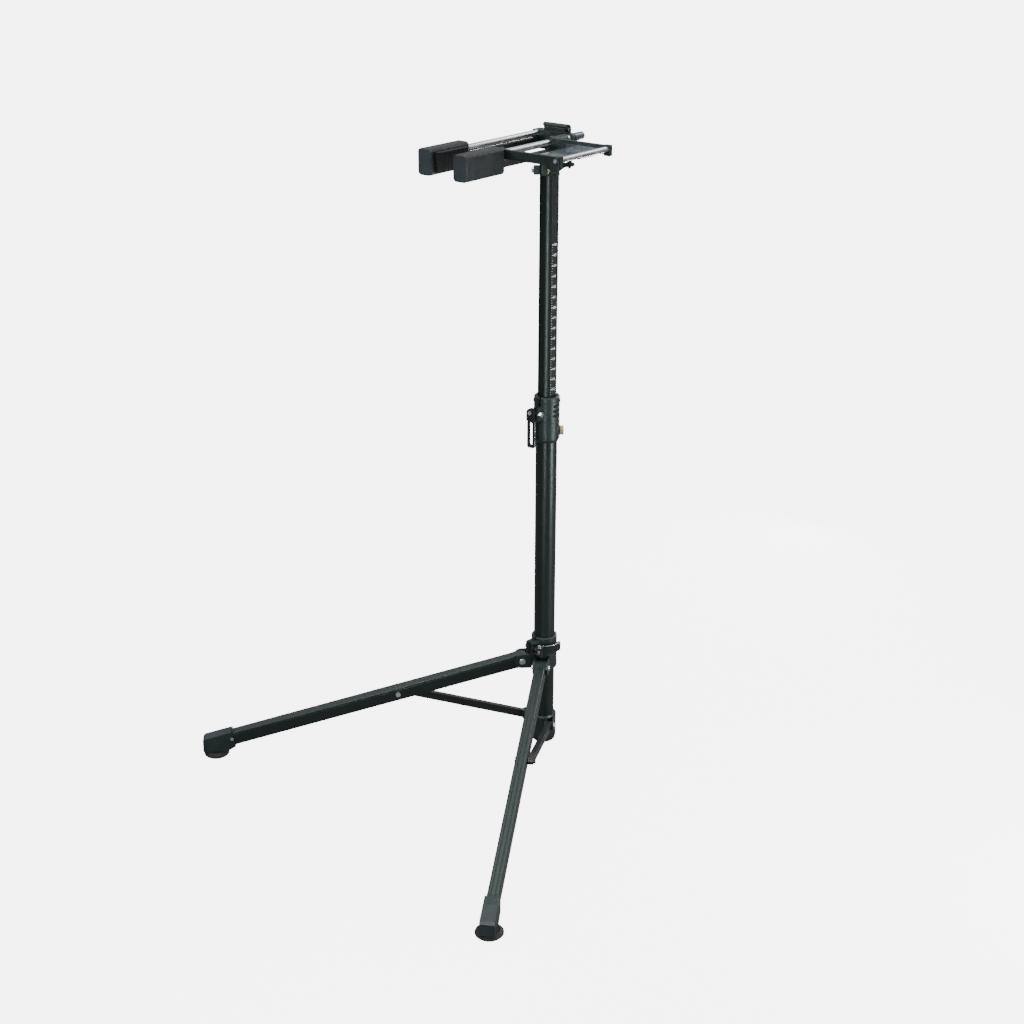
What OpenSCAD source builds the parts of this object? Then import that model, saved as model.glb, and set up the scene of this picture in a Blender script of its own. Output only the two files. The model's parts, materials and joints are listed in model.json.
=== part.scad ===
// Folding bike repair stand: a round mast on a rubber foot, two folding legs with struts,
// a telescopic grooved upper mast and a seat-post clamp with a lift-up bail lever.
// Millimetres. Origin: centre of the mast foot on the floor. +Z up, the clamp arms point to -Y.

/* [Mast] */
// Outer diameter of the lower mast tube
lower_d = 42; // [40:1:44]
// Wall of the lower mast tube
lower_wall = 2; // [1.5:0.25:2.5]
// Height of the lower mast tube's top end
lower_top = 735; // [715:5:745]
// Outer diameter of the upper mast profile
upper_d = 36; // [35:0.5:36.5]
// Length of the upper mast profile
upper_len = 640; // [560:10:660]
// Height of the upper mast's top end as it stands
upper_top = 1173; // [1120:1:1200]
// Width of each of the four channels in the upper mast
channel_w = 15; // [12:0.5:15.5]
// Depth of each channel, from the round outline
channel_depth = 3.5; // [2.5:0.25:4]

/* [Legs] */
// Direction of the left leg, degrees from the clamp arms' direction
left_leg_turn = 45.8; // [38:0.1:52]
// Direction of the right leg, degrees from the clamp arms' direction
right_leg_turn = 29.4; // [25:0.1:38]
// Distance of each foot's centre from the mast axis
foot_reach = 673; // [600:1:720]
// Distance of the leg pivots from the mast axis
leg_pivot_r = 46; // [44:0.5:50]
// Height of the leg pivots with the stand open
leg_pivot_z = 187; // [170:1:200]
// Slope of the open legs below level
leg_slope = 14.2; // [12:0.1:16]
// Distance along a leg from its pivot to the strut bolt
strut_bolt_at = 262; // [240:1:270]
// Width of a leg tube
leg_w = 22; // [20:1:24]
// Height of a leg tube
leg_h = 29; // [26:1:31]

/* [Clamp] */
// Height of the two rods of the clamp
rod_z = 1234; // [1231:1:1238]
// Diameter of the two rods
rod_d = 12; // [10:1:13]
// Distance of the jaws' outer ends from the mast axis
front_reach = 272; // [250:1:300]
// Length of a jaw block
jaw_len = 102; // [90:1:104]
// Height of a jaw block
jaw_h = 46; // [40:1:50]
// Width of a jaw block
jaw_w = 30; // [26:1:32]
// Gap between the two jaw blocks
jaw_gap = 57; // [52:1:60]
// Length of the bail's side arms, from the front rod to the grip bar
bail_len = 125; // [115:1:140]
// Diameter of the grip bar
grip_d = 10; // [9:1:12]

/* [Hidden] */

eps = 0.01;
fit = 0.06;      // radial running clearance
gap = 0.4;       // clearance between bodies that pass each other
bolt_r = 3;

// colours
c_tube = [0.07, 0.08, 0.08];
c_plastic = [0.17, 0.19, 0.20];
c_rubber = [0.11, 0.12, 0.12];
c_silver = [0.78, 0.79, 0.80];
c_zinc = [0.62, 0.63, 0.62];
c_brass = [0.66, 0.60, 0.42];
c_plate = [0.40, 0.45, 0.49];

// directions in plan, as turns of the +X axis
left_dir = -90 - left_leg_turn;
right_dir = -90 + right_leg_turn;
mid_dir = (left_dir + right_dir) / 2;
profile_turn = mid_dir + 90;

// mast base
foot_h = 10;
foot_r = 24;
base_r = 26;
base_top = 62;
tube_foot = 14;
base_pivot_r = 34;
base_pivot_z = 48.5;

// leg plane geometry: x is the distance from the mast axis, y is the height
leg_dir = [cos(leg_slope), -sin(leg_slope)];
leg_pivot = [leg_pivot_r, leg_pivot_z];
strut_bolt = leg_pivot + strut_bolt_at * leg_dir;
base_pivot = [base_pivot_r, base_pivot_z];
strut_vec = strut_bolt - base_pivot;
strut_len = norm(strut_vec);
strut_slope = atan2(strut_vec[1], strut_vec[0]);
leg_tube_len = (foot_reach - 14 - leg_pivot_r) / cos(leg_slope);
hinge_len = 15;
cap_end_r = foot_reach + 26;
cap_wall = 2.6;
ear_t = 4;
ear_in = leg_w / 2 + gap;
strut_t = 10;
strut_h = 16;
strut_side = leg_w / 2 + 0.8 + strut_t / 2;

// leg collar
collar_z0 = 171;
collar_z1 = 242;
collar_r = 26;
ear_h = 30;
leg_clamp_r = 35;
leg_clamp_z = 222;
leg_lever_t = 22;
leg_lever_h = 17;
leg_lever_r = [30.5, 37];
leg_lever_end = 107;

// mast collar
mc_z0 = 660;
mc_z1 = 738;
mc_top = 752;
mc_r = 25;
mc_dir = -86;
mc_clamp_r = 33;
mc_clamp_z = 722;
mc_ear = 5.5;
mc_lever_t = -14.5;
mc_lever_w = 17;
mc_lever_len = 77;
mc_bolt_r = 1.8;
mc_lock_dir = 130;
mc_lock_at = [22, 0, 690];

// head
head_h = 20;
head_w = 36.5;
head_top = upper_top + head_h;
frame_z0 = head_top + 7;
frame_t = 4;
deck_z = frame_z0 + frame_t;

// clamp
front_x = 13;
rear_x = -68;
front_jaw_x = 0;
rear_jaw_x = front_jaw_x - jaw_gap;
rod_back = 80;
jaw_mid_z = 1224;
jaw_step = 10;
jaw_pad_front = 6;
jaw_pad_rear = 12;
jaw_cap_t = 3;
front_back = -front_reach + jaw_len;
rear_reach = front_reach - jaw_step;
rear_back = -rear_reach + jaw_len;
guide_y = [56, 66];
guide_z = 1214;
guide_r = 4;
house_y = [50, 72];
house_x = [-78, -8];
house_top = rod_z + rod_d / 2;
rear_arm_end = 51.5;
rear_arm_z = [1208, 1226];
bail_far = -14;
bail_near = -158;
bail_t = 8;
bail_z = [1226, 1242];
hub_r = 10.5;
sleeve_r = 9;
crank_r = 16;
crank_rest = -30;
crank_y = [21, 28];
yoke_y = [30, 38];
bridge_y = [40, 48];
grip_x = front_x + bail_len;
grip_z = 1236;
plate_x = [50, 126];
bail_end = 6;
bail_lip = 0.5;
catch_t = 4;
stop_at = [55, -14];
paddle_y = 66.5;
paddle_z = 1244;
paddle_r = 9;
paddle_x = [-62, -8];

// ---------------------------------------------------------------- helpers

module tube(r_out, r_in, z0, z1) {
    translate([0, 0, z0]) difference() {
        cylinder(r = r_out, h = z1 - z0, $fn = 64);
        translate([0, 0, -1]) cylinder(r = r_in, h = z1 - z0 + 2, $fn = 64);
    }
}

// cylinder along Y, from y0 to y1
module bar_y(x, z, y0, y1, r) {
    translate([x, y1, z]) rotate([90, 0, 0]) cylinder(r = r, h = y1 - y0, $fn = 48);
}

// cylinder along X, from x0 to x1
module bar_x(y, z, x0, x1, r) {
    translate([x0, y, z]) rotate([0, 90, 0]) cylinder(r = r, h = x1 - x0, $fn = 48);
}

// box by its two corners
module span(a, b) {
    translate(a) cube(b - a);
}

// outline with round corners
module round_rect(w, h, r) {
    square([w - 2 * r, h], center = true);
    square([w, h - 2 * r], center = true);
    for (sx = [-1, 1], sy = [-1, 1]) {
        translate([sx * (w / 2 - r), sy * (h / 2 - r)]) circle(r = r, $fn = 32);
    }
}

// stands a leg-plane outline up in a leg's vertical plane, t thick, centred "side" off it
module leg_plane(dir, t, side = 0) {
    rotate([0, 0, dir]) translate([0, side + t / 2, 0]) rotate([90, 0, 0]) {
        linear_extrude(height = t) children();
    }
}

// pin across a leg plane, from side a to side b
module leg_pin(dir, at, a, b, r) {
    rotate([0, 0, dir]) translate([at[0], b, at[1]]) rotate([90, 0, 0]) {
        cylinder(r = r, h = b - a, $fn = 32);
    }
}

// outline of the grooved upper mast, grown by c
module upper_outline(c = 0) {
    channel_floor = upper_d / 2 - channel_depth + c;
    rotate(profile_turn) difference() {
        circle(r = upper_d / 2 + c, $fn = 96);
        for (a = [0, 90, 180, 270]) {
            rotate(a) translate([channel_floor, -channel_w / 2 + c]) square([10, channel_w - 2 * c]);
        }
    }
}

// bolt head with a socket, pointing to +Z from z = 0
module cap_head(r, h) {
    difference() {
        cylinder(r = r, h = h, $fn = 32);
        translate([0, 0, h * 0.4]) cylinder(r = r * 0.5, h = h, $fn = 6);
    }
}

// ---------------------------------------------------------------- base and lower mast

module mast_foot() {
    color(c_rubber) rotate_extrude($fn = 64) {
        polygon([[0, 0], [foot_r - 3, 0], [foot_r, 3], [foot_r, foot_h - 2], [foot_r - 4, foot_h],
            [0, foot_h]]);
    }
}

module base_bracket() {
    color(c_plastic) difference() {
        union() {
            translate([0, 0, foot_h]) cylinder(r = base_r, h = base_top - foot_h - 3, $fn = 64);
            translate([0, 0, base_top - 3]) cylinder(r1 = base_r, r2 = base_r - 2, h = 3, $fn = 64);
            for (s = [-1, 1]) {
                dir = s < 0 ? left_dir : right_dir;
                for (side = [strut_side - strut_t / 2 - gap - 2, strut_side + strut_t / 2 + gap + 2]) {
                    leg_plane(dir, 4, s * side) {
                        translate([8, base_pivot_z - 10]) square([base_pivot_r - 8, 20]);
                        translate(base_pivot) circle(r = 10, $fn = 32);
                    }
                }
            }
        }
        translate([0, 0, tube_foot]) cylinder(r = lower_d / 2, h = 100, $fn = 64);
        for (s = [-1, 1]) {
            leg_pin(s < 0 ? left_dir : right_dir, base_pivot, -60, 60, bolt_r);
            strut_pocket(s);
        }
    }
}

// space that a strut's round lower end turns in
module strut_pocket(s) {
    dir = s < 0 ? left_dir : right_dir;
    leg_plane(dir, strut_t + 2 * gap, s * strut_side) {
        translate(base_pivot) circle(r = strut_h / 2 + 1.2, $fn = 32);
        translate([base_pivot_r, base_pivot_z - 30]) square([40, 60]);
    }
}

module strut_pivot_pins() {
    color(c_zinc) for (s = [-1, 1]) {
        dir = s < 0 ? left_dir : right_dir;
        inner = strut_side - strut_t / 2 - gap - 4;
        outer = strut_side + strut_t / 2 + gap + 4;
        leg_pin(dir, base_pivot, min(s * inner, s * (outer + 1)), max(s * inner, s * (outer + 1)), bolt_r);
        leg_pin(dir, base_pivot, min(s * outer, s * (outer + 3)), max(s * outer, s * (outer + 3)), 5.5);
    }
}

module lower_mast() {
    color(c_tube) tube(lower_d / 2, lower_d / 2 - lower_wall, tube_foot, lower_top);
}

// ---------------------------------------------------------------- mast height clamp

module mast_collar() {
    color(c_plastic) difference() {
        union() {
            translate([0, 0, mc_z0 + 6]) cylinder(r = mc_r, h = mc_top - mc_z0 - 8, $fn = 64);
            translate([0, 0, mc_z0]) cylinder(r1 = mc_r - 3, r2 = mc_r, h = 6, $fn = 64);
            translate([0, 0, mc_top - 2]) cylinder(r1 = mc_r, r2 = mc_r - 2, h = 2, $fn = 64);
            rotate([0, 0, mc_dir]) span([16, -mc_ear, 708], [38.5, mc_ear, 736]);
            translate([0, 0, 740]) tube(mc_r + 1.2, mc_r - 2, 0, 3);
            rotate([0, 0, 38]) span([mc_r - 4, -7, 672], [mc_r + 1, 7, 688]);
        }
        translate([0, 0, mc_z0 - 1]) cylinder(r = lower_d / 2, h = lower_top - mc_z0 + 1, $fn = 64);
        translate([0, 0, lower_top - 1]) cylinder(r = lower_d / 2 - lower_wall, h = 50, $fn = 64);
        // split between the clamp ears
        rotate([0, 0, mc_dir]) span([lower_d / 2 - 6, -1.5, 700], [60, 1.5, mc_top + 1]);
        // three level slots on the right
        for (k = [0, 1, 2]) {
            rotate([0, 0, 5]) span([mc_r - 3, -16, 712.5 + 9.5 * k], [mc_r + 5, 16, 717.5 + 9.5 * k]);
        }
        rotate([0, 0, mc_dir]) translate([mc_clamp_r, -30, mc_clamp_z]) rotate([-90, 0, 0]) {
            cylinder(r = mc_bolt_r, h = 60, $fn = 32);
        }
        rotate([0, 0, 38]) translate([0, 0, 680]) rotate([0, 90, 0]) cylinder(r = bolt_r, h = 40, $fn = 32);
        rotate([0, 0, mc_lock_dir]) translate(mc_lock_at) rotate([0, 90, 0]) {
            cylinder(r = 1.6, h = 10, $fn = 24);
        }
    }
}

module key_sleeve() {
    color(c_rubber) translate([0, 0, 690]) linear_extrude(height = 61) difference() {
        circle(r = lower_d / 2 - lower_wall, $fn = 96);
        upper_outline(fit);
    }
}

// clamp bolt along the tangent, with an eye that the lever turns on
module mast_clamp_bolt() {
    color(c_zinc) rotate([0, 0, mc_dir]) difference() {
        union() {
            translate([mc_clamp_r, mc_lever_t, mc_clamp_z]) rotate([-90, 0, 0]) {
                cylinder(r = mc_bolt_r, h = mc_ear - mc_lever_t + 6.5, $fn = 32);
            }
            bar_x(mc_lever_t, mc_clamp_z, mc_clamp_r - 2, mc_clamp_r + 2, 5);
            translate([mc_clamp_r, mc_ear, mc_clamp_z]) rotate([-90, 0, 0]) cylinder(r = 5.5, h = 5, $fn = 6);
        }
        bar_x(mc_lever_t, mc_clamp_z, mc_clamp_r - 10, mc_clamp_r + 10, 2 + fit);
    }
}

module mast_lock_screw() {
    shank = mc_r - mc_lock_at[0] + 0.05;
    color(c_silver) rotate([0, 0, mc_lock_dir]) translate(mc_lock_at) rotate([0, 90, 0]) {
        cylinder(r = 1.6, h = shank, $fn = 24);
        translate([0, 0, shank]) cap_head(3.4, 3);
    }
}

module index_knob() {
    color(c_brass) rotate([0, 0, 38]) translate([0, 0, 680]) rotate([0, 90, 0]) {
        translate([0, 0, lower_d / 2 + 0.2]) cylinder(r = bolt_r, h = 12, $fn = 32);
        difference() {
            translate([0, 0, mc_r + 1]) cylinder(r = 9, h = 7, $fn = 48);
            for (a = [0:30:330]) {
                rotate([0, 0, a]) translate([9.6, 0, mc_r]) cylinder(r = 1.2, h = 10, $fn = 16);
            }
        }
    }
}

// lever with a forked head and a long-slotted blade, hanging beside the clamp ears
module mast_lever() {
    half = mc_lever_w / 2;
    blade_t = 4.6;
    at = [mc_clamp_r - 4, mc_lever_t, mc_clamp_z];
    color(c_tube) rotate([0, 0, mc_dir]) translate(at) rotate([90, 0, 90]) {
        difference() {
            union() {
                linear_extrude(height = 8) {
                    circle(r = half, $fn = 48);
                    translate([-half, -16]) square([mc_lever_w, 16]);
                }
                linear_extrude(height = blade_t) {
                    translate([-half, -mc_lever_len + 12]) square([mc_lever_w, mc_lever_len - 12]);
                    translate([0, -mc_lever_len + 12]) round_rect(mc_lever_w, 14, 4);
                }
            }
            translate([0, 0, -1]) cylinder(r = 2, h = 10, $fn = 32);
            translate([0, -mc_lever_len + 34, -1]) linear_extrude(height = 10) round_rect(7.4, 46, 3.6);
            translate([-6.4, -7, 1.6]) cube([20, 40, 4.8]);
        }
    }
}

module mast_lever_pin() {
    at = [mc_clamp_r - 4, mc_lever_t, mc_clamp_z];
    color(c_silver) rotate([0, 0, mc_dir]) translate(at) rotate([0, 90, 0]) {
        cylinder(r = 2, h = 8, $fn = 32);
        translate([0, 0, 8]) cap_head(4, 2.4);
    }
}

// ---------------------------------------------------------------- leg collar

module leg_collar() {
    color(c_plastic) difference() {
        union() {
            translate([0, 0, collar_z0]) cylinder(r = collar_r, h = collar_z1 - collar_z0 - 2, $fn = 64);
            translate([0, 0, collar_z1 - 2]) cylinder(r1 = collar_r, r2 = collar_r - 2, h = 2, $fn = 64);
            for (dir = [left_dir, right_dir], s = [-1, 1]) {
                leg_plane(dir, ear_t, s * (ear_in + ear_t / 2)) {
                    translate([12, leg_pivot_z - ear_h / 2]) square([leg_pivot_r - 12, ear_h]);
                    translate(leg_pivot) circle(r = ear_h / 2, $fn = 48);
                }
            }
            rotate([0, 0, mid_dir]) {
                span([16, -10, 208], [leg_clamp_r + 7, 10, 236]);
                span([16, -14, 204], [collar_r + 3, 14, 232]);
            }
        }
        translate([0, 0, collar_z0 - 1]) cylinder(r = lower_d / 2 + fit, h = 100, $fn = 64);
        rotate([0, 0, mid_dir]) {
            span([lower_d / 2 - 6, -1.5, 203], [70, 1.5, collar_z1 + 1]);
            bar_y(leg_clamp_r, leg_clamp_z, -40, 40, bolt_r);
        }
        for (dir = [left_dir, right_dir]) {
            leg_pin(dir, leg_pivot, -40, 40, bolt_r);
        }
    }
}

module leg_clamp_bolt() {
    color(c_zinc) rotate([0, 0, mid_dir]) difference() {
        union() {
            translate([leg_clamp_r, -10, leg_clamp_z]) rotate([-90, 0, 0]) {
                cylinder(r = bolt_r, h = leg_lever_t + 10, $fn = 32);
            }
            translate([leg_clamp_r, leg_lever_t, leg_clamp_z - 3.5]) cylinder(r = 4.5, h = 7, $fn = 32);
            translate([leg_clamp_r, -10, leg_clamp_z]) rotate([90, 0, 0]) cylinder(r = 5.5, h = 5, $fn = 6);
        }
        translate([leg_clamp_r, leg_lever_t, leg_clamp_z - 10]) cylinder(r = 2 + fit, h = 20, $fn = 32);
    }
}

module leg_pivot_bolts() {
    color(c_zinc) for (dir = [left_dir, right_dir]) {
        out = ear_in + ear_t;
        leg_pin(dir, leg_pivot, -out, out, bolt_r);
        for (s = [-1, 1]) {
            leg_pin(dir, leg_pivot, min(s * out, s * (out + 3)), max(s * out, s * (out + 3)), 5);
        }
    }
}

// cam lever that curls round the collar and swings out about an upright pin
module leg_lever() {
    start = atan2(leg_lever_t, leg_clamp_r);
    mid_r = (leg_lever_r[0] + leg_lever_r[1]) / 2;
    half = (leg_lever_r[1] - leg_lever_r[0]) / 2;
    far = 2 * leg_lever_r[1];
    color(c_tube) rotate([0, 0, mid_dir]) translate([0, 0, leg_clamp_z - leg_lever_h / 2]) difference() {
        linear_extrude(height = leg_lever_h) {
            difference() {
                circle(r = leg_lever_r[1], $fn = 96);
                circle(r = leg_lever_r[0], $fn = 96);
                // everything outside the lever's share of the turn
                polygon([[0, 0], far * [cos(start), sin(start)], [far, -far], [-far, -far], [-far, far],
                    far * [cos(leg_lever_end), sin(leg_lever_end)]]);
            }
            rotate(leg_lever_end) translate([mid_r, 0]) circle(r = half + 0.4, $fn = 32);
            translate([leg_clamp_r, leg_lever_t]) circle(r = 8, $fn = 48);
        }
        translate([leg_clamp_r, leg_lever_t, -1]) cylinder(r = 2, h = leg_lever_h + 2, $fn = 32);
        translate([leg_clamp_r - 5.4, leg_lever_t - 20, 4.7]) cube([20, 26.6, leg_lever_h - 9.4]);
    }
}

module leg_lever_pin() {
    z0 = leg_clamp_z - leg_lever_h / 2;
    color(c_silver) rotate([0, 0, mid_dir]) translate([leg_clamp_r, leg_lever_t, z0]) {
        cylinder(r = 2, h = leg_lever_h, $fn = 32);
        translate([0, 0, leg_lever_h]) cap_head(4, 2.4);
    }
}

// ---------------------------------------------------------------- legs

// outline of a leg tube: flat sides and a slightly narrower, grooved crown
module leg_outline() {
    difference() {
        round_rect(leg_w, leg_h, 3);
        for (s = [-1, 1]) {
            translate([s * leg_w / 2, leg_h / 2 - 5.5]) circle(r = 0.7, $fn = 16);
            translate([s * 4, leg_h / 2]) circle(r = 0.8, $fn = 16);
        }
    }
}

// moves children from the leg's own frame (x along it, from its pivot) into place
module on_leg(dir) {
    rotate([0, 0, dir]) translate([leg_pivot_r, 0, leg_pivot_z]) rotate([0, leg_slope, 0]) children();
}

module leg_tube(dir) {
    color(c_tube) on_leg(dir) translate([hinge_len, 0, 0]) difference() {
        rotate([90, 0, 90]) linear_extrude(height = leg_tube_len - hinge_len) leg_outline();
        translate([-1, 0, 0]) rotate([90, 0, 90]) linear_extrude(height = leg_tube_len) {
            round_rect(leg_w - 4, leg_h - 4, 1.5);
        }
        translate([strut_bolt_at - hinge_len, 20, 0]) rotate([90, 0, 0]) cylinder(r = bolt_r, h = 40, $fn = 32);
    }
}

// plug in the leg's upper end, turning on the pivot bolt
module leg_hinge(dir) {
    color(c_plastic) on_leg(dir) difference() {
        union() {
            bar_y(0, 0, -leg_w / 2, leg_w / 2, leg_h / 2 - 0.5);
            translate([0, -leg_w / 2, -leg_h / 2 + 0.5]) cube([hinge_len, leg_w, leg_h - 1]);
            translate([hinge_len - eps, 0, 0]) rotate([90, 0, 90]) linear_extrude(height = 30) {
                round_rect(leg_w - 4.1, leg_h - 4.1, 1.5);
            }
        }
        translate([0, 20, 0]) rotate([90, 0, 0]) cylinder(r = bolt_r + fit, h = 40, $fn = 32);
    }
}

// wedge cap over the leg's lower end: sloping top, upright end, flat sole
module foot_cap(dir) {
    mid = function(r) leg_pivot_z - (r - leg_pivot_r) * tan(leg_slope);
    in_r = foot_reach - 36;
    rise = (leg_h / 2 + cap_wall) / cos(leg_slope);
    w = leg_w + 2 * cap_wall;
    color(c_plastic) difference() {
        leg_plane(dir, w) polygon([
            [in_r + 4, mid(in_r + 4) + rise], [cap_end_r - 4, mid(cap_end_r - 4) + rise],
            [cap_end_r, mid(cap_end_r) + rise - 3], [cap_end_r, foot_h + 3], [cap_end_r - 3, foot_h],
            [in_r + 16, foot_h], [in_r - 4, mid(in_r - 4) - rise]]);
        on_leg(dir) rotate([90, 0, 90]) linear_extrude(height = leg_tube_len) round_rect(leg_w, leg_h, 3);
    }
}

module foot_pad(dir) {
    color(c_rubber) rotate([0, 0, dir]) translate([foot_reach, 0, 0]) rotate_extrude($fn = 64) {
        polygon([[0, 0], [23, 0], [25.5, 2.5], [25.5, 5], [19, foot_h], [0, foot_h]]);
    }
}

// strut bolt: its round head shows on the leg's inner side and it ends flush at the outer side
module strut_leg_bolt(s) {
    dir = s < 0 ? left_dir : right_dir;
    half = leg_w / 2;
    color(c_zinc) {
        leg_pin(dir, strut_bolt, -half, half, bolt_r);
        leg_pin(dir, strut_bolt, min(-s * half, -s * (half + 3)), max(-s * half, -s * (half + 3)), 5);
    }
}

// flat-sided strut on the leg's outer side, with round ends and a nut on its outer face
module strut(s) {
    dir = s < 0 ? left_dir : right_dir;
    outer = strut_side + strut_t / 2;
    color(c_tube) {
        difference() {
            leg_plane(dir, strut_t, s * strut_side) translate(base_pivot) rotate(strut_slope) {
                difference() {
                    union() {
                        circle(r = strut_h / 2, $fn = 48);
                        translate([0, -strut_h / 2]) square([strut_len, strut_h]);
                        translate([strut_len, 0]) circle(r = strut_h / 2, $fn = 48);
                    }
                    circle(r = bolt_r + fit, $fn = 32);
                }
            }
            // long recess along the outer face
            leg_plane(dir, 3, s * outer) translate(base_pivot) rotate(strut_slope) {
                translate([14, -4]) square([strut_len - 28, 8]);
            }
        }
        leg_pin(dir, strut_bolt, min(s * outer, s * (outer + 4)), max(s * outer, s * (outer + 4)), 5.5);
    }
}

// ---------------------------------------------------------------- upper mast and head

module upper_mast() {
    color(c_tube) translate([0, 0, upper_top - upper_len]) linear_extrude(height = upper_len) difference() {
        upper_outline();
        circle(r = 11.5, $fn = 64);
    }
}

// plastic glide at the upper mast's lower end
module guide_plug() {
    z = upper_top - upper_len;
    color(c_rubber) translate([0, 0, z - 14]) {
        cylinder(r = lower_d / 2 - lower_wall - fit, h = 14, $fn = 64);
        cylinder(r = 11.4, h = 40, $fn = 48);
    }
}

module head_block() {
    color(c_plastic) difference() {
        union() {
            translate([0, 0, upper_top]) linear_extrude(height = head_h) rotate(38) {
                round_rect(head_w, head_w - 4, 5);
            }
            translate([0, 0, upper_top - 40]) cylinder(r = 11.4, h = 50, $fn = 48);
            rotate([0, 0, 38]) {
                span([-head_w / 2 - 11, -12, upper_top + 1], [-head_w / 2 + 4, 4, upper_top + 16]);
            }
            // neck and the flared rib that carries the bail stop
            span([2, -6, head_top - 6], [26, 12, frame_z0]);
            translate([0, stop_at[1] + 4, 0]) rotate([90, 0, 0]) linear_extrude(height = 8) {
                polygon([[8, upper_top + 6], [24, upper_top + 6], [44, frame_z0 - 7], [62, frame_z0 - 4],
                    [62, frame_z0], [8, frame_z0]]);
            }
            span([stop_at[0] - 6, stop_at[1] - 6, frame_z0 - 3], [62, stop_at[1] + 6, frame_z0 + 2]);
        }
        rotate([0, 0, 38]) bar_x(-4, upper_top + 8.5, -60, 60, bolt_r);
        rotate([0, 0, 38]) span([-4, -30, upper_top + 4], [3, -head_w / 2 + 7, upper_top + 13]);
        translate([stop_at[0], stop_at[1], frame_z0 - 8]) cylinder(r = 2.5, h = 20, $fn = 24);
    }
}

module head_bolt() {
    color(c_zinc) rotate([0, 0, 38]) translate([-head_w / 2 - 11, -4, upper_top + 8.5]) rotate([0, 90, 0]) {
        cylinder(r = bolt_r, h = head_w + 8, $fn = 32);
        rotate([180, 0, 0]) cap_head(5, 4);
    }
}

// square nut let into the front of the head block
module head_nut() {
    color(c_brass) rotate([0, 0, 38]) {
        span([-4, -head_w / 2 + 1.2, upper_top + 4], [3, -head_w / 2 + 7, upper_top + 13]);
    }
}

// cast frame of the clamp: deck, lugs for the guide rods and the bridge that holds the front rod
module clamp_frame() {
    color(c_plastic) difference() {
        union() {
            span([-22, -14, frame_z0], [30, 34, deck_z]);
            span([-22, 30, frame_z0], [43, house_y[1] + 2, deck_z]);
            for (x = [-20, 37]) {
                span([x, bridge_y[0], frame_z0], [x + (x < 0 ? 10 : 6), house_y[1] + 2, 1222]);
            }
            span([-20, bridge_y[0], 1213.5], [43, bridge_y[1], 1224]);
            bar_y(front_x, rod_z, bridge_y[0], bridge_y[1], sleeve_r);
            span([front_x - 7, bridge_y[0], 1220], [front_x + 7, bridge_y[1], 1230]);
        }
        bar_y(front_x, rod_z, 0, 100, rod_d / 2);
        for (y = guide_y) {
            bar_x(y, guide_z, -60, 60, guide_r);
        }
    }
}

module guide_rods() {
    color(c_silver) for (y = guide_y) {
        bar_x(y, guide_z, -76, 43, guide_r);
    }
}

module bail_stop() {
    color(c_rubber) translate([stop_at[0], stop_at[1], frame_z0 + 2]) {
        cylinder(r = 4.5, h = bail_z[0] - frame_z0 - 2 - gap, $fn = 32);
        translate([0, 0, -10]) cylinder(r = 2.5, h = 12, $fn = 24);
    }
}

module front_rod() {
    color(c_silver) bar_y(front_x, rod_z, bail_near - 6, rod_back - 6, rod_d / 2);
}

module rod_end_cap() {
    color(c_plastic) difference() {
        union() {
            bar_y(front_x, rod_z, 52, rod_back - 1, 7.5);
            bar_y(front_x, rod_z, rod_back - 1 - eps, rod_back, 6.8);
        }
        bar_y(front_x, rod_z, 50, rod_back - 6, rod_d / 2);
        bar_y(front_x, rod_z, rod_back - 7, rod_back + 5, 2);
    }
}

module rod_end_screw() {
    color(c_silver) translate([front_x, rod_back - 6, rod_z]) rotate([-90, 0, 0]) {
        cylinder(r = 2, h = 6, $fn = 24);
        translate([0, 0, 6]) cap_head(4.5, 2.5);
    }
}

// ---------------------------------------------------------------- rear jaw

module rear_housing() {
    color(c_plastic) difference() {
        union() {
            span([house_x[0], house_y[0], 1224.5], [house_x[1], house_y[1], house_top]);
            span([house_x[0], house_y[0], deck_z + 2], [-36, house_y[1], 1224.5 + eps]);
            bar_x(paddle_y, paddle_z, paddle_x[0] + 4, paddle_x[1] - 4, 5);
            span([paddle_x[0] + 4, paddle_y - 5, house_top - 2], [paddle_x[1] - 4, paddle_y + 5, paddle_z]);
        }
        for (y = guide_y) {
            bar_x(y, guide_z, -100, 0, guide_r + fit);
        }
        bar_x(paddle_y, paddle_z, -90, 0, 2);
        bar_y(rear_x, rod_z, 40, 62, rod_d / 2);
        span([rear_x - 6, 40, rear_arm_z[0]], [rear_x + 6, rear_arm_end, rear_arm_z[1]]);
    }
}

module rear_rod() {
    color(c_silver) bar_y(rear_x, rod_z, rear_back - 20, 62, rod_d / 2);
}

module rear_arm() {
    color(c_tube) {
        span([rear_x - 6, rear_back - 20, rear_arm_z[0]], [rear_x + 6, rear_arm_end, rear_arm_z[1]]);
    }
}

// jaw block: round-cornered bar with sockets for its rod and arm
module jaw_block(x0, y_out, y_in) {
    translate([x0 + jaw_w / 2, y_in, jaw_mid_z]) rotate([90, 0, 0]) {
        linear_extrude(height = y_in - y_out - jaw_cap_t) round_rect(jaw_w, jaw_h, 7);
    }
}

module jaw_cap(x0, y_out) {
    translate([x0 + jaw_w / 2, y_out + jaw_cap_t, jaw_mid_z]) rotate([90, 0, 0]) {
        linear_extrude(height = jaw_cap_t - 1) round_rect(jaw_w, jaw_h, 7);
        translate([0, 0, jaw_cap_t - 1 - eps]) linear_extrude(height = 1) round_rect(jaw_w - 2, jaw_h - 2, 6);
    }
}

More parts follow.
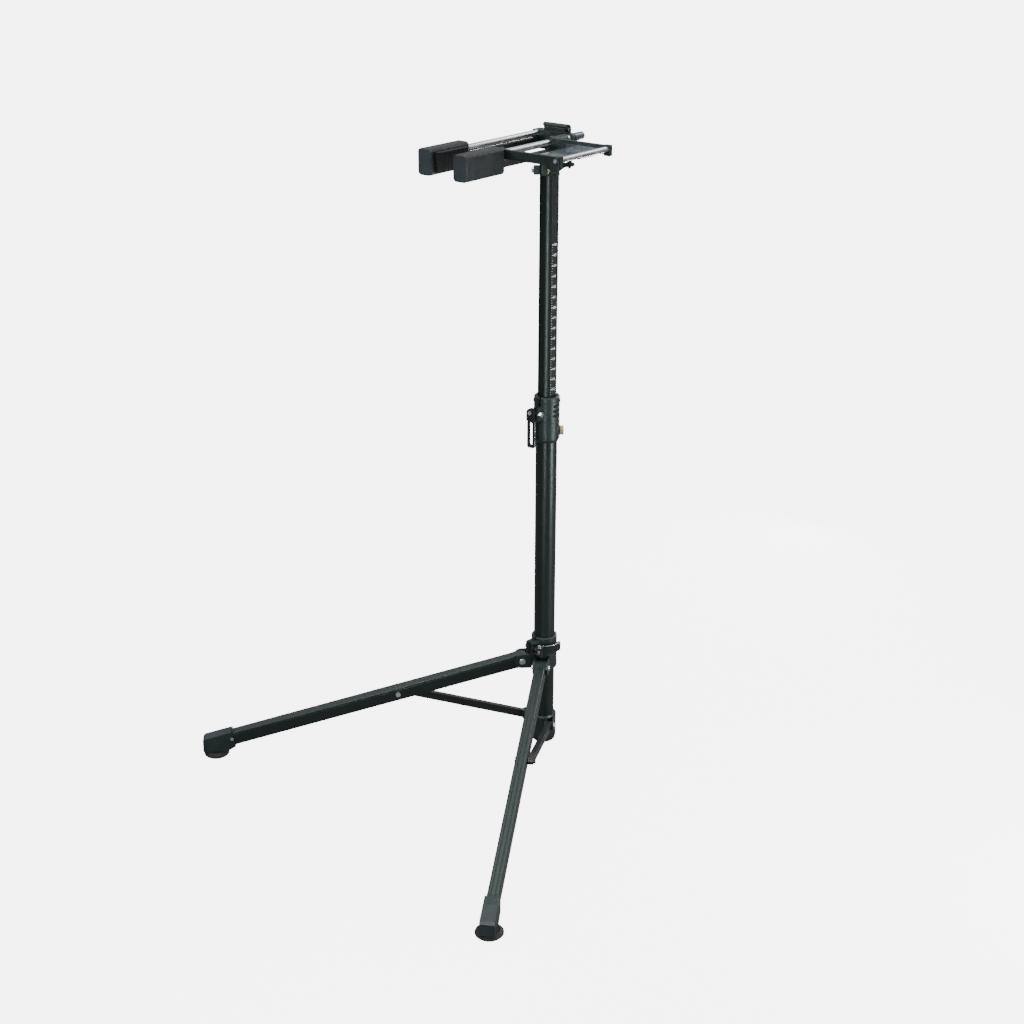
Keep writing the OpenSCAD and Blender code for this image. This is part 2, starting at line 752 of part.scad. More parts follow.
// pad on a jaw's inner face, with upright grooves and sloped ends
module jaw_pad(x_face, proud, y_out, y_in) {
    mid = (y_out + y_in) / 2;
    translate([0, 0, jaw_mid_z - 17]) linear_extrude(height = 34) polygon([
        [x_face, y_out], [x_face + proud * 0.6, y_out], [x_face + proud, y_out + 8],
        for (k = [-3:3]) each [[x_face + proud, mid + 10 * k - 2],
            [x_face + proud - sign(proud) * 1.6, mid + 10 * k], [x_face + proud, mid + 10 * k + 2]],
        [x_face + proud, y_in - 8], [x_face + proud * 0.6, y_in], [x_face, y_in]]);
}

module rear_jaw() {
    color(c_plastic) difference() {
        jaw_block(rear_jaw_x - jaw_w, -rear_reach, rear_back);
        bar_y(rear_x, rod_z, rear_back - 20, 0, rod_d / 2);
        span([rear_x - 6, rear_back - 20, rear_arm_z[0]], [rear_x + 6, 0, rear_arm_z[1]]);
    }
}

module rear_pad() {
    color(c_rubber) jaw_pad(rear_jaw_x, jaw_pad_rear, -rear_reach + 10, rear_back - 8);
}

module rear_jaw_cap() {
    color(c_plastic) jaw_cap(rear_jaw_x - jaw_w, -rear_reach);
}

// outline of the release lever's roll, open at the front and below
module roll_sector(r) {
    difference() {
        circle(r = r, $fn = 48);
        translate([-20, -40]) square([40, 40]);
        polygon([[0, 0], [-20, 0], [-20, 11.55]]);
    }
}

// rolled release lever along the housing's back edge, its tail hanging behind
module release_paddle() {
    inner = paddle_r - 2.5;
    width = paddle_x[1] - paddle_x[0];
    color(c_plastic) difference() {
        translate([paddle_x[0], paddle_y, paddle_z]) rotate([90, 0, 90]) {
            linear_extrude(height = width) {
                difference() {
                    roll_sector(paddle_r);
                    circle(r = inner, $fn = 48);
                }
                translate([inner, -18]) square([paddle_r - inner, 18 + eps]);
                translate([8.2, -18]) circle(r = 2, $fn = 24);
            }
            for (x = [0, width - 3]) {
                translate([0, 0, x]) linear_extrude(height = 3) {
                    roll_sector(paddle_r - 1);
                    circle(r = 3.4, $fn = 32);
                }
            }
        }
        bar_x(paddle_y, paddle_z, -90, 20, 2 + fit);
    }
}

module paddle_pin() {
    color(c_silver) bar_x(paddle_y, paddle_z, paddle_x[0] - 1.5, paddle_x[1] + 1.5, 2);
}

// ---------------------------------------------------------------- front jaw

// slides across on the guide rods, driven by the bail's crank pin in its yoke slot
module front_carriage() {
    pin_x = front_x + crank_r * sin(crank_rest);
    color(c_plastic) difference() {
        union() {
            span([-6, house_y[0], deck_z + 1], [20, house_y[1], 1223]);
            span([-6, yoke_y[0], deck_z + 1], [16, house_y[0] + eps, 1212.5]);
            span([-6, yoke_y[0], deck_z + 1], [16, yoke_y[1], 1224]);
        }
        for (y = guide_y) {
            bar_x(y, guide_z, -60, 60, guide_r + fit);
        }
        span([pin_x - 3.4, yoke_y[0] - 1, 1213.5], [pin_x + 3.4, yoke_y[1] + 1, 1230]);
    }
}

// bar that steps down behind the bail's crank
module front_arm() {
    step_y = 12;
    color(c_tube) translate([8, 0, 0]) rotate([90, 0, 90]) linear_extrude(height = 14) polygon([
        [front_back - 20, 1211], [step_y - 10, 1211], [step_y - 10, deck_z + 1], [yoke_y[0], deck_z + 1],
        [yoke_y[0], 1212.5], [step_y, 1212.5], [step_y, 1222.5], [front_back - 20, 1222.5]]);
}

module front_jaw() {
    color(c_plastic) difference() {
        jaw_block(front_jaw_x, -front_reach, front_back);
        span([8, front_back - 20, 1211], [22, 0, 1222.5]);
    }
}

module front_pad() {
    color(c_rubber) jaw_pad(front_jaw_x, -jaw_pad_front, -front_reach + 10, front_back - 8);
}

module front_jaw_cap() {
    color(c_plastic) jaw_cap(front_jaw_x, -front_reach);
}

// ---------------------------------------------------------------- bail lever

module bail_side(y) {
    difference() {
        union() {
            bar_y(front_x, rod_z, y - bail_t / 2 - 1, y + bail_t / 2 + 1, hub_r);
            span([front_x, y - bail_t / 2, bail_z[0]], [grip_x - bail_end, y + bail_t / 2, bail_z[1]]);
            span([grip_x - bail_end, y - bail_t / 2 - bail_lip, bail_z[0] - 2],
                [grip_x + bail_end, y + bail_t / 2 + bail_lip, bail_z[1] + 1]);
        }
        bar_y(front_x, rod_z, y - 20, y + 20, rod_d / 2 + fit);
        bar_y(grip_x, grip_z, y - 20, y + 20, 2);
    }
}

// side arm nearer the housing, with the sleeve and crank that drive the front jaw
module bail_far_arm() {
    color(c_plastic) {
        bail_side(bail_far);
        difference() {
            union() {
                bar_y(front_x, rod_z, bail_far, crank_y[1], sleeve_r);
                translate([front_x, crank_y[1], rod_z]) rotate([0, -crank_rest, 0]) rotate([90, 0, 0]) {
                    linear_extrude(height = crank_y[1] - crank_y[0]) {
                        translate([-5, -crank_r]) square([10, crank_r]);
                        translate([0, -crank_r]) circle(r = 5, $fn = 32);
                    }
                }
                translate([front_x, yoke_y[1] - 1, rod_z]) rotate([0, -crank_rest, 0]) rotate([90, 0, 0]) {
                    translate([0, -crank_r, 0]) {
                        cylinder(r = bolt_r, h = yoke_y[1] - 1 - crank_y[0], $fn = 32);
                    }
                }
            }
            bar_y(front_x, rod_z, -60, 60, rod_d / 2 + fit);
        }
    }
}

module bail_near_arm() {
    color(c_plastic) bail_side(bail_near);
}

module bail_grip_bar() {
    color(c_silver) difference() {
        bar_y(grip_x, grip_z, bail_near + bail_t / 2 + bail_lip, bail_far - bail_t / 2 - bail_lip, grip_d / 2);
        for (y = [bail_near, bail_far]) {
            bar_y(grip_x, grip_z, y - 20, y + 20, 2);
        }
    }
}

// sheet floor between the arms, with a turned-up lip along its outer edge
module bail_plate() {
    y0 = bail_near + bail_t / 2;
    y1 = bail_far - bail_t / 2;
    color(c_plate) {
        span([plate_x[0], y0, bail_z[0] + 1], [plate_x[1], y1, bail_z[0] + 2.6]);
        span([plate_x[1] - 1.6, y0, bail_z[0] + 1], [plate_x[1], y1, bail_z[0] + 7]);
        for (y = [y0, y1 - 1.6]) {
            span([plate_x[0], y, bail_z[0] + 1], [plate_x[1], y + 1.6, bail_z[0] + 10]);
        }
    }
}

// finger tab on the near arm's outer face, held by the grip bar's screw
module bail_catch() {
    y = bail_near - bail_t / 2 - bail_lip;
    color(c_plastic) difference() {
        union() {
            span([grip_x - 12, y - catch_t, 1213], [grip_x + 5, y, 1243]);
            span([grip_x - 13, y - catch_t - 2, 1213], [grip_x + 6, y, 1217]);
        }
        bar_y(grip_x, grip_z, y - 20, y + 20, 2);
    }
}

module bail_screws() {
    color(c_zinc) for (s = [-1, 1]) {
        y = s < 0 ? bail_near - bail_t / 2 - bail_lip - catch_t : bail_far + bail_t / 2 + bail_lip;
        translate([grip_x, y, grip_z]) rotate([s < 0 ? 90 : -90, 0, 0]) {
            cap_head(4, 2.4);
            translate([0, 0, -20]) cylinder(r = 2, h = 20, $fn = 24);
        }
    }
}

mast_foot();
base_bracket();
strut_pivot_pins();
lower_mast();
mast_collar();
key_sleeve();
mast_clamp_bolt();
mast_lock_screw();
index_knob();
mast_lever();
mast_lever_pin();
leg_collar();
leg_clamp_bolt();
leg_pivot_bolts();
leg_lever();
leg_lever_pin();
leg_tube(left_dir);  // left_leg_tube
leg_hinge(left_dir);  // left_leg_hinge
foot_cap(left_dir);  // left_foot_cap
foot_pad(left_dir);  // left_foot_pad
strut_leg_bolt(-1);  // left_strut_bolt
leg_tube(right_dir);  // right_leg_tube
leg_hinge(right_dir);  // right_leg_hinge
foot_cap(right_dir);  // right_foot_cap
foot_pad(right_dir);  // right_foot_pad
strut_leg_bolt(1);  // right_strut_bolt
strut(-1);  // left_strut
strut(1);  // right_strut
upper_mast();
guide_plug();
head_block();
head_bolt();
head_nut();
clamp_frame();
guide_rods();
bail_stop();
front_rod();
rod_end_cap();
rod_end_screw();
rear_housing();
rear_rod();
rear_arm();
rear_jaw();
rear_pad();
rear_jaw_cap();
release_paddle();
paddle_pin();
front_carriage();
front_arm();
front_jaw();
front_pad();
front_jaw_cap();
bail_far_arm();
bail_near_arm();
bail_grip_bar();
bail_plate();
bail_catch();
bail_screws();
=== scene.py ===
"""Looks of a folding bike repair stand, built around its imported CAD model.

Metres, +Z up, the mast axis at the origin. The clamp arms point to -Y and the bail lever to +X.
"""
import json
import math

import bmesh
import bpy
from mathutils import Matrix, Vector


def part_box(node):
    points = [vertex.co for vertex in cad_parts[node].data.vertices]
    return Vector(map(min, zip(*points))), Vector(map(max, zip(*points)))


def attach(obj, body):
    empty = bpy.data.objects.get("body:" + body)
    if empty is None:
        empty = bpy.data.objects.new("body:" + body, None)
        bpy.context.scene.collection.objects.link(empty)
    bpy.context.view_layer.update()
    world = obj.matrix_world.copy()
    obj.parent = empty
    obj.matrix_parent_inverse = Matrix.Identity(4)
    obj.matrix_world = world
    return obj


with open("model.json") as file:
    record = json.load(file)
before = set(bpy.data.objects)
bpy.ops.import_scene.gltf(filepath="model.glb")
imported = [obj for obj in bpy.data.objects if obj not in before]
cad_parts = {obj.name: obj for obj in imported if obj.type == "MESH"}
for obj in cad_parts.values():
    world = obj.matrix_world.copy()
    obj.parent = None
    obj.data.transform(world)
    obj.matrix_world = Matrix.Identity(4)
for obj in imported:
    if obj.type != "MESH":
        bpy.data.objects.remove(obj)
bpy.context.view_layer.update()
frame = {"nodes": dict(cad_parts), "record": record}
MM = 0.001

# ---------------------------------------------------------------- materials


class Tree:
    """Short names for making shader nodes in one material."""

    def __init__(self, name):
        self.material = bpy.data.materials.new(name)
        self.material.use_nodes = True
        self.nodes = self.material.node_tree.nodes
        self.links = self.material.node_tree.links
        self.bsdf = self.nodes["Principled BSDF"]

    def add(self, kind, **values):
        node = self.nodes.new("ShaderNode" + kind)
        for key, value in values.items():
            setattr(node, key, value)
        return node

    def link(self, output, socket):
        self.links.new(output, socket)

    def place(self, stretch=(1, 1, 1)):
        coords = self.add("TexCoord")
        mapping = self.add("Mapping")
        mapping.inputs["Scale"].default_value = stretch
        self.link(coords.outputs["Object"], mapping.inputs["Vector"])
        return mapping.outputs["Vector"]

    def noise(self, scale, detail, stretch=(1, 1, 1)):
        node = self.add("TexNoise")
        node.inputs["Scale"].default_value = scale
        node.inputs["Detail"].default_value = detail
        self.link(self.place(stretch), node.inputs["Vector"])
        return node.outputs["Fac"]

    def span(self, value, low, high, to_low, to_high):
        node = self.add("MapRange")
        for name, number in (("From Min", low), ("From Max", high), ("To Min", to_low), ("To Max", to_high)):
            node.inputs[name].default_value = number
        self.link(value, node.inputs["Value"])
        return node.outputs["Result"]

    def math(self, operation, a, b):
        node = self.add("Math", operation=operation)
        for socket, value in zip(node.inputs, (a, b)):
            if isinstance(value, (int, float)):
                socket.default_value = value
            else:
                self.link(value, socket)
        return node.outputs["Value"]

    def mix(self, factor, a, b):
        node = self.add("Mix", data_type="RGBA")
        self.link(factor, node.inputs[0])
        colours = [socket for socket in node.inputs if socket.type == "RGBA"]
        for socket, value in zip(colours, (a, b)):
            if isinstance(value, tuple):
                socket.default_value = (*value, 1)
            else:
                self.link(value, socket)
        return next(socket for socket in node.outputs if socket.type == "RGBA")


def scaled(colour, factor):
    return tuple(min(1.0, channel * factor) for channel in colour)


def surface(name, colour, rough, metal=0.0, coat=0.0, vary=0.25, grain=900, relief=0.05, stretch=(1, 1, 1),
            worn=None, wear=0.5, edge=0.5, specular=0.5, rough_vary=0.1, sheen=(1, 1, 1)):
    """Finish with cloudy colour, uneven gloss, a fine grain, and softened, lightly rubbed edges."""
    tree = Tree(name)
    bsdf = tree.bsdf
    clouds = tree.noise(28, 6)
    fine = tree.noise(grain, 3, stretch)
    tone = tree.span(tree.math("ADD", tree.math("MULTIPLY", clouds, 0.65), tree.math("MULTIPLY", fine, 0.35)),
                     0.35, 0.65, 0, 1)
    base = tree.mix(tone, scaled(colour, 1 - vary), scaled(colour, 1 + vary))

    bevel = tree.add("Bevel", samples=4)
    bevel.inputs["Radius"].default_value = edge * MM
    geometry = tree.add("NewGeometry")
    facing = tree.add("VectorMath", operation="DOT_PRODUCT")
    tree.link(bevel.outputs["Normal"], facing.inputs[0])
    tree.link(geometry.outputs["Normal"], facing.inputs[1])
    rim = tree.span(facing.outputs["Value"], 0.985, 0.80, 0, 1)
    patchy = tree.span(tree.noise(160, 4), 0.42, 0.62, 0, 1)
    rubbed = tree.math("MULTIPLY", tree.math("MULTIPLY", rim, patchy), wear)
    tree.link(tree.mix(rubbed, base, worn or scaled(colour, 2.2)), bsdf.inputs["Base Color"])

    smudges = tree.span(tree.noise(60, 5), 0.3, 0.7, rough - rough_vary, rough + rough_vary)
    tree.link(smudges, bsdf.inputs["Roughness"])
    bump = tree.add("Bump")
    bump.inputs["Strength"].default_value = relief
    bump.inputs["Distance"].default_value = 0.3 * MM
    tree.link(fine, bump.inputs["Height"])
    tree.link(bevel.outputs["Normal"], bump.inputs["Normal"])
    tree.link(bump.outputs["Normal"], bsdf.inputs["Normal"])
    bsdf.inputs["Metallic"].default_value = metal
    bsdf.inputs["Coat Weight"].default_value = coat
    bsdf.inputs["Coat Roughness"].default_value = 0.15
    bsdf.inputs["Specular IOR Level"].default_value = specular
    bsdf.inputs["Specular Tint"].default_value = (*sheen, 1)
    return tree.material


ALONG_Z = (1, 1, 0.03)
ALONG_Y = (1, 0.03, 1)
GREEN_BLACK = (0.0036, 0.0056, 0.0054)
GREEN_SHEEN = (0.82, 1.0, 0.96)

finishes = {
    "tube_black": surface("anodised_black", GREEN_BLACK, 0.34, stretch=ALONG_Z, grain=700, relief=0.012, vary=0.12,
                          worn=(0.08, 0.11, 0.105), wear=0.45, edge=0.35, specular=0.5, rough_vary=0.04,
                          sheen=GREEN_SHEEN),
    "cast_plastic": surface("moulded_dark_grey", (0.0085, 0.0125, 0.0130), 0.42, grain=1400, relief=0.08,
                            worn=(0.050, 0.066, 0.068), wear=0.55, edge=0.7, specular=0.42, sheen=GREEN_SHEEN),
    "strut_black": surface("powder_black", (0.0055, 0.0072, 0.0075), 0.40, grain=1800, relief=0.08,
                           worn=(0.07, 0.08, 0.08), wear=0.4, specular=0.38),
    "lever_black": surface("lever_gloss_black", (0.005, 0.0065, 0.0065), 0.20, coat=0.15, grain=1200, relief=0.02,
                           worn=(0.5, 0.52, 0.52), wear=0.85, edge=0.6, specular=0.5),
    "rubber_black": surface("rubber_black", (0.0075, 0.0082, 0.0082), 0.66, grain=1600, relief=0.14,
                            worn=(0.028, 0.030, 0.030), wear=0.5, edge=0.6, specular=0.25),
    "rod_silver": surface("drawn_aluminium", (0.74, 0.75, 0.76), 0.24, metal=1.0, vary=0.06, grain=900,
                          stretch=ALONG_Y, relief=0.04, worn=(0.9, 0.9, 0.9), wear=0.3),
    "zinc": surface("bright_zinc", (0.66, 0.67, 0.66), 0.26, metal=1.0, vary=0.10, grain=1100, relief=0.03,
                    worn=(0.85, 0.85, 0.84), wear=0.4, edge=0.3),
    "brass_nut": surface("yellow_passivated", (0.40, 0.34, 0.19), 0.34, metal=0.85, vary=0.14, grain=900,
                         relief=0.04, worn=(0.8, 0.75, 0.52), wear=0.6, edge=0.3),
    "jaw_grey": surface("jaw_moulding", (0.019, 0.027, 0.031), 0.48, grain=1300, relief=0.12,
                        worn=(0.10, 0.12, 0.135), wear=0.5, edge=1.2, specular=0.35),
    "plate_grey": surface("plate_gloss", (0.065, 0.085, 0.10), 0.14, metal=0.35, coat=0.4, vary=0.06, grain=800,
                          relief=0.01, worn=(0.4, 0.43, 0.45), wear=0.4, specular=0.6, rough_vary=0.03),
}

# painted shade: the jaw blocks get a darker copy of the jaw moulding, standing in for the shade on their sides, so
# they look darker than their end caps
jaw_painted_shade = surface("jaw_painted_shade", (0.0085, 0.012, 0.0135), 0.46, grain=1300, relief=0.10, worn=(0.05, 0.062, 0.07),
                   wear=0.5, edge=1.2, specular=0.35)
# the jaw blocks take the painted-shade copy; the rod end cap takes the gloss plate finish
special = {"front_jaw": jaw_painted_shade, "rear_jaw": jaw_painted_shade, "rod_end_cap": finishes["plate_grey"]}

for row in frame["record"]["subparts"]:
    node = frame["nodes"][row["node"]]
    node.data.materials.clear()
    node.data.materials.append(special.get(row["node"], finishes[row["material_slot"]]))


def print_white():
    """White printing ink, thin in places."""
    tree = Tree("print_white")
    patchy = tree.span(tree.noise(1500, 4), 0.3, 0.6, 0, 1)
    tree.link(tree.mix(patchy, (0.62, 0.66, 0.66), (0.88, 0.90, 0.90)), tree.bsdf.inputs["Base Color"])
    tree.bsdf.inputs["Roughness"].default_value = 0.5
    return tree.material


ink = print_white()

# ---------------------------------------------------------------- mesh helpers


def make_piece(name, bm, material, body, place=Matrix()):
    """Turn a finished bmesh into a flat-shaded piece that rides on a body."""
    mesh = bpy.data.meshes.new(name)
    bmesh.ops.transform(bm, matrix=place, verts=bm.verts)
    bmesh.ops.recalc_face_normals(bm, faces=bm.faces)
    bm.to_mesh(mesh)
    bm.free()
    mesh.materials.append(material)
    piece = bpy.data.objects.new(name, mesh)
    bpy.context.scene.collection.objects.link(piece)
    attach(piece, body)


def add_box(bm, low, high):
    low, high = Vector(low), Vector(high)
    centre, size = (low + high) / 2, high - low
    bmesh.ops.create_cube(bm, size=1, matrix=Matrix.Translation(centre) @ Matrix.Diagonal((*size, 1)))


def add_ring(bm, centre, axis, outer, inner, thick, sides=48):
    """Flat ring with square section, from centre towards axis."""
    turn = Vector(axis).to_track_quat("Z", "Y").to_matrix().to_4x4()
    place = Matrix.Translation(Vector(centre)) @ turn
    rows = []
    for k in range(sides):
        a = 2 * math.pi * k / sides
        spots = ((inner, 0), (outer, 0), (outer, thick), (inner, thick))
        rows.append([bm.verts.new(place @ Vector((r * math.cos(a), r * math.sin(a), z))) for r, z in spots])
    for k in range(sides):
        here, there = rows[k], rows[(k + 1) % sides]
        for j in range(4):
            bm.faces.new((here[j], there[j], there[(j + 1) % 4], here[(j + 1) % 4]))


def add_arc(bm, centre, outer, inner, thick, first, last, steps=24):
    """Flat arc plate lying in a level plane, angles in degrees."""
    rows = []
    for k in range(steps + 1):
        a = math.radians(first + (last - first) * k / steps)
        spots = ((inner, 0), (outer, 0), (outer, thick), (inner, thick))
        rows.append([bm.verts.new(Vector(centre) + Vector((r * math.cos(a), r * math.sin(a), z)))
                     for r, z in spots])
    for here, there in zip(rows, rows[1:]):
        for j in range(4):
            bm.faces.new((here[j], there[j], there[(j + 1) % 4], here[(j + 1) % 4]))
    bm.faces.new(rows[0])
    bm.faces.new(rows[-1])


def add_disc(bm, centre, axis, radius, thick, sides=32):
    turn = Vector(axis).to_track_quat("Z", "Y").to_matrix().to_4x4()
    shift = Matrix.Translation(Vector((0, 0, thick / 2)))
    bmesh.ops.create_cone(bm, cap_ends=True, segments=sides, radius1=radius, radius2=radius, depth=thick,
                          matrix=Matrix.Translation(Vector(centre)) @ turn @ shift)


# ---------------------------------------------------------------- printed height scale

mast_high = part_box("upper_mast")[1]
channel_x = 14.5 * MM                    # floor of the channel that the scale is printed in
PROFILE_TURN = Matrix.Rotation(math.radians(-8.2), 4, "Z")
scale_top = mast_high.z - 127 * MM
scale_edge = -6.2 * MM                   # where the ticks start across the channel
INK = 0.04 * MM
TICK_STEP = 5 * MM
TICKS = 64
NUMBER_EVERY = 4
TOP_NUMBER = 26


def scale_marks():
    bm = bmesh.new()
    for k in range(TICKS):
        z = scale_top - k * TICK_STEP
        numbered = k % NUMBER_EVERY == 0
        length = (5.2 if numbered else 2.2) * MM
        half = (0.55 if numbered else 0.3) * MM
        add_box(bm, (channel_x, scale_edge, z - half), (channel_x + INK, scale_edge + length, z + half))
    rule = 0.2 * MM
    add_box(bm, (channel_x, scale_edge - rule, scale_top - (TICKS - 1) * TICK_STEP),
            (channel_x + INK, scale_edge + rule, scale_top))
    make_piece("scale_marks", bm, ink, "head", PROFILE_TURN)


def scale_number(k):
    """Two-digit number beside a long tick, as thin raised ink."""
    curve = bpy.data.curves.new(f"scale_number_{k}", "FONT")
    curve.body = str(TOP_NUMBER - k)
    curve.size = 6.8 * MM
    curve.extrude = INK / 2
    curve.align_x = "LEFT"
    curve.align_y = "CENTER"
    text = bpy.data.objects.new(f"scale_number_{k}", curve)
    bpy.context.scene.collection.objects.link(text)
    stand_up = Matrix(((0, 0, 1, 0), (1, 0, 0, 0), (0, 1, 0, 0), (0, 0, 0, 1)))
    z = scale_top - k * NUMBER_EVERY * TICK_STEP
    text.matrix_world = Matrix.Translation((channel_x + INK / 2, -1.0 * MM, z)) @ stand_up
    bpy.context.view_layer.update()
    mesh = bpy.data.meshes.new_from_object(text.evaluated_get(bpy.context.evaluated_depsgraph_get()))
    mesh.transform(PROFILE_TURN @ text.matrix_world)
    bpy.data.objects.remove(text)
    mesh.materials.clear()
    mesh.materials.append(ink)
    piece = bpy.data.objects.new(f"scale_number_{k}", mesh)
    bpy.context.scene.collection.objects.link(piece)
    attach(piece, "head")


scale_marks()
for number in range(TICKS // NUMBER_EVERY):
    scale_number(number)

# ---------------------------------------------------------------- small parts and trims

LEFT, RIGHT = math.radians(-135.8), math.radians(-60.6)
MIDDLE = (LEFT + RIGHT) / 2
LEVER_TURN = math.radians(-86)
LEG_SLOPE = math.radians(14.2)
LEG_PIVOT = (46, 0, 187)                 # millimetres, out from the mast and up
FOOT_REACH = 673
PAD_RIBS = 20
LEGS = (("left", LEFT), ("right", RIGHT))
UP = (0, 0, 1)
steel = finishes["zinc"]
moulded = finishes["cast_plastic"]
rubber = finishes["rubber_black"]


def turned(angle, at=(0, 0, 0)):
    """Matrix from a frame with X pointing out from the mast at that angle."""
    return Matrix.Rotation(angle, 4, "Z") @ Matrix.Translation(Vector(at) * MM)


def leg_frame(angle):
    """Matrix from a leg's own frame, X along the leg from its pivot."""
    return turned(angle, LEG_PIVOT) @ Matrix.Rotation(LEG_SLOPE, 4, "Y")


def mm_box(bm, low, high):
    add_box(bm, Vector(low) * MM, Vector(high) * MM)


def foot_details():
    for name, angle in LEGS:
        bm = bmesh.new()
        add_ring(bm, (0, 0, 5.2 * MM), UP, 20.9 * MM, 20.1 * MM, 1.1 * MM)
        for k in range(PAD_RIBS):
            spoke = Matrix.Rotation(2 * math.pi * k / PAD_RIBS, 4, "Z")
            start = len(bm.verts)
            mm_box(bm, (20.5, -0.6, 5.2), (25.0, 0.6, 6.4))
            bm.verts.ensure_lookup_table()
            bmesh.ops.transform(bm, matrix=spoke, verts=bm.verts[start:])
        make_piece(f"{name}_pad_ribs", bm, rubber, f"{name}_leg", turned(angle, (FOOT_REACH, 0, 0)))

        bm = bmesh.new()
        for side in (-1, 1):
            add_disc(bm, Vector((612, side * 13.4, 2)) * MM, (0, side, 0), 3.4 * MM, 0.9 * MM)
        make_piece(f"{name}_cap_rivets", bm, steel, f"{name}_leg", leg_frame(angle))

        bm = bmesh.new()
        for k in range(5):
            x = 606 + 4.5 * k
            mm_box(bm, (x, -11, 16.9), (x + 1.6, 11, 17.6))
        make_piece(f"{name}_cap_ribs", bm, moulded, f"{name}_leg", leg_frame(angle))


def painted_lever_highlights():
    # painted highlight: a thin silver strip along the mast lever's edge stands in for the highlight on that edge
    bm = bmesh.new()
    mm_box(bm, (29.5, -6.1, 656), (33.1, -5.75, 704))
    make_piece("mast_lever_painted_highlight", bm, finishes["rod_silver"], "mast_lever", turned(LEVER_TURN))
    # painted highlight: a thin silver arc over the leg lever's top stands in for the light falling on it
    bm = bmesh.new()
    add_arc(bm, (0, 0, 230.4 * MM), 36.9 * MM, 34.6 * MM, 0.7 * MM, 40, 105)
    make_piece("leg_lever_painted_highlight", bm, finishes["rod_silver"], "leg_lever", turned(MIDDLE))


def washers():
    for name, angle in LEGS:
        side = -1 if name == "left" else 1
        bm = bmesh.new()
        for end in (-1, 1):
            centre = Vector((LEG_PIVOT[0], end * 15.4, LEG_PIVOT[2])) * MM
            add_ring(bm, centre, (0, end, 0), 6.6 * MM, 2.9 * MM, 0.9 * MM)
        make_piece(f"{name}_pivot_washers", bm, steel, "leg_carriage", turned(angle))
        bm = bmesh.new()
        add_ring(bm, Vector((34, side * 26.2, 48.5)) * MM, (0, side, 0), 6.8 * MM, 2.9 * MM, 0.9 * MM)
        make_piece(f"{name}_base_washer", bm, steel, "base", turned(angle))


def collar_trim():
    rows = (
        # piece, body, heights, outer radius, inner radius, thickness, all in mm
        ("mast_collar_bands", "base", (668, 700), 25.35, 24.9, 1.2),
        ("leg_collar_bands", "leg_carriage", (176, 206), 26.35, 25.9, 1.2),
        ("base_band", "base", (57,), 26.4, 25.9, 1.6),
    )
    for name, body, heights, outer, inner, thick in rows:
        bm = bmesh.new()
        for z in heights:
            add_ring(bm, (0, 0, z * MM), UP, outer * MM, inner * MM, thick * MM, 96)
        make_piece(name, bm, moulded, body)


foot_details()
painted_lever_highlights()
washers()
collar_trim()

# ---------------------------------------------------------------- floor, light and camera


WHITE = 5.6                              # brightness of floor and sky for the camera alone


def pale_floor():
    bm = bmesh.new()
    bmesh.ops.create_grid(bm, x_segments=1, y_segments=1, size=40)
    mesh = bpy.data.meshes.new("floor")
    bm.to_mesh(mesh)
    bm.free()
    floor = bpy.data.objects.new("floor", mesh)
    bpy.context.scene.collection.objects.link(floor)
    floor.location.z = -0.2 * MM
    # the floor looks white to the camera but gives little light back to the stand
    tree = Tree("floor_pale")
    seen = tree.add("LightPath").outputs["Is Camera Ray"]
    shade = tree.span(tree.noise(3, 3), 0.3, 0.7, 0, 1)
    pale = tree.mix(shade, (0.29, 0.29, 0.295), (0.31, 0.31, 0.31))
    tree.link(tree.mix(seen, (0.12, 0.12, 0.12), pale), tree.bsdf.inputs["Base Color"])
    tree.bsdf.inputs["Emission Color"].default_value = (1, 1, 1, 1)
    tree.link(tree.math("MULTIPLY", seen, WHITE), tree.bsdf.inputs["Emission Strength"])
    tree.bsdf.inputs["Roughness"].default_value = 0.75
    tree.bsdf.inputs["Specular IOR Level"].default_value = 0.1
    mesh.materials.append(tree.material)


def soft_light(name, place, aim, size, power):
    light = bpy.data.lights.new(name, "AREA")
    light.shape = "RECTANGLE"
    light.size, light.size_y = size
    light.energy = power
    lamp = bpy.data.objects.new(name, light)
    lamp.location = place
    lamp.rotation_euler = (Vector(aim) - Vector(place)).to_track_quat("-Z", "Y").to_euler()
    lamp.visible_camera = False
    bpy.context.scene.collection.objects.link(lamp)


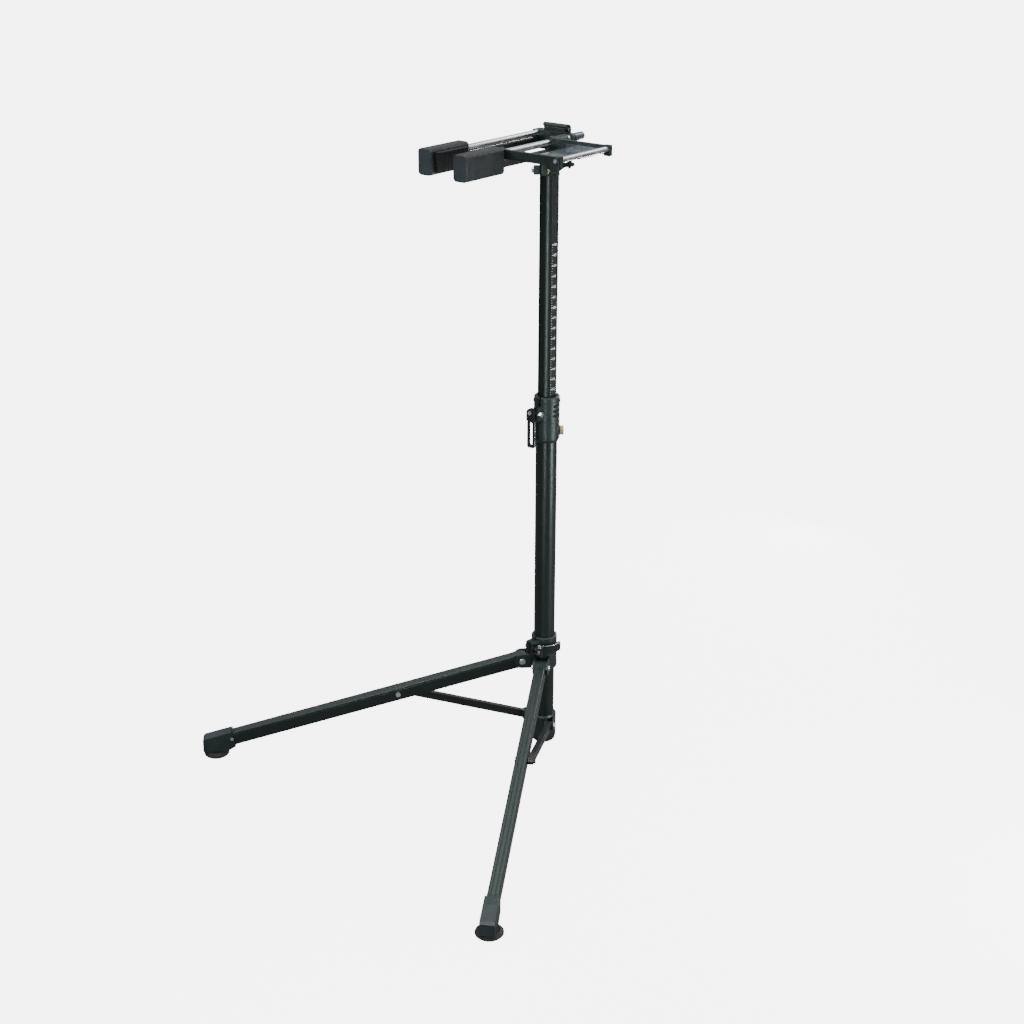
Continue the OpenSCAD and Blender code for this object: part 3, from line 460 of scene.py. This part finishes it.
def studio():
    pale_floor()
    world = bpy.data.worlds.new("studio")
    world.use_nodes = True
    sky_nodes, links = world.node_tree.nodes, world.node_tree.links
    background = sky_nodes["Background"]
    background.inputs["Color"].default_value = (0.95, 0.97, 1.0, 1)
    height = sky_nodes.new("ShaderNodeSeparateXYZ")
    links.new(sky_nodes.new("ShaderNodeTexCoord").outputs["Generated"], height.inputs[0])
    fade = sky_nodes.new("ShaderNodeMapRange")
    for name, number in (("From Min", 0.0), ("From Max", 0.45), ("To Min", 0.12), ("To Max", 0.9)):
        fade.inputs[name].default_value = number
    links.new(height.outputs["Z"], fade.inputs["Value"])
    # the camera sees the sky as white as the floor
    whiten = sky_nodes.new("ShaderNodeMath")
    whiten.operation = "MULTIPLY_ADD"
    whiten.inputs[1].default_value = WHITE
    links.new(sky_nodes.new("ShaderNodeLightPath").outputs["Is Camera Ray"], whiten.inputs[0])
    links.new(fade.outputs["Result"], whiten.inputs[2])
    links.new(whiten.outputs[0], background.inputs["Strength"])
    bpy.context.scene.world = world
    middle = (0, -0.1, 0.7)
    # the upright strips show as bright streaks along the tubes
    rows = (
        # name, place, aim, width and height, power
        ("overhead", (0, 0, 5.2), (0, 0, 0), (4, 4), 170),
        ("key", (-1.2, -2.6, 2.2), middle, (1.0, 1.0), 36),
        ("right_strip", (1.35, 0.2, 0.6), (0, 0, 0.6), (0.26, 1.0), 24),
        ("front_strip", (0.57, -1.28, 0.58), (0, 0, 0.58), (0.10, 0.95), 9),
        ("rear_strip", (-0.12, 1.4, 0.6), (0, 0, 0.6), (0.16, 1.0), 10),
        ("back_strip", (0.3, 1.5, 1.6), (0.2, -0.35, 0.1), (0.3, 1.4), 8),
    )
    for row in rows:
        soft_light(*row)


VIEW_TURN = math.radians(38.2)
VIEW_PITCH = math.radians(22.47)
VIEW_ROLL = math.radians(0.18)
CAMERA_AWAY = 2.9995                     # along the level line of sight, from the mast axis
CAMERA_LEFT = 0.0663
CAMERA_HEIGHT = 1.7488


def photo_camera():
    data = bpy.data.cameras.new("camera")
    data.lens = 57.86
    data.sensor_width = 36
    data.clip_end = 60
    camera = bpy.data.objects.new("camera", data)
    away = Vector((math.sin(VIEW_TURN), -math.cos(VIEW_TURN), 0))
    right = Vector((math.cos(VIEW_TURN), math.sin(VIEW_TURN), 0))
    camera.location = away * CAMERA_AWAY - right * CAMERA_LEFT + Vector((0, 0, CAMERA_HEIGHT))
    look = -away * math.cos(VIEW_PITCH) - Vector((0, 0, math.sin(VIEW_PITCH)))
    turn = look.to_track_quat("-Z", "Y").to_matrix().to_4x4()
    camera.matrix_world = Matrix.Translation(camera.location) @ turn @ Matrix.Rotation(VIEW_ROLL, 4, "Z")
    bpy.context.scene.collection.objects.link(camera)
    bpy.context.scene.camera = camera


studio()
photo_camera()
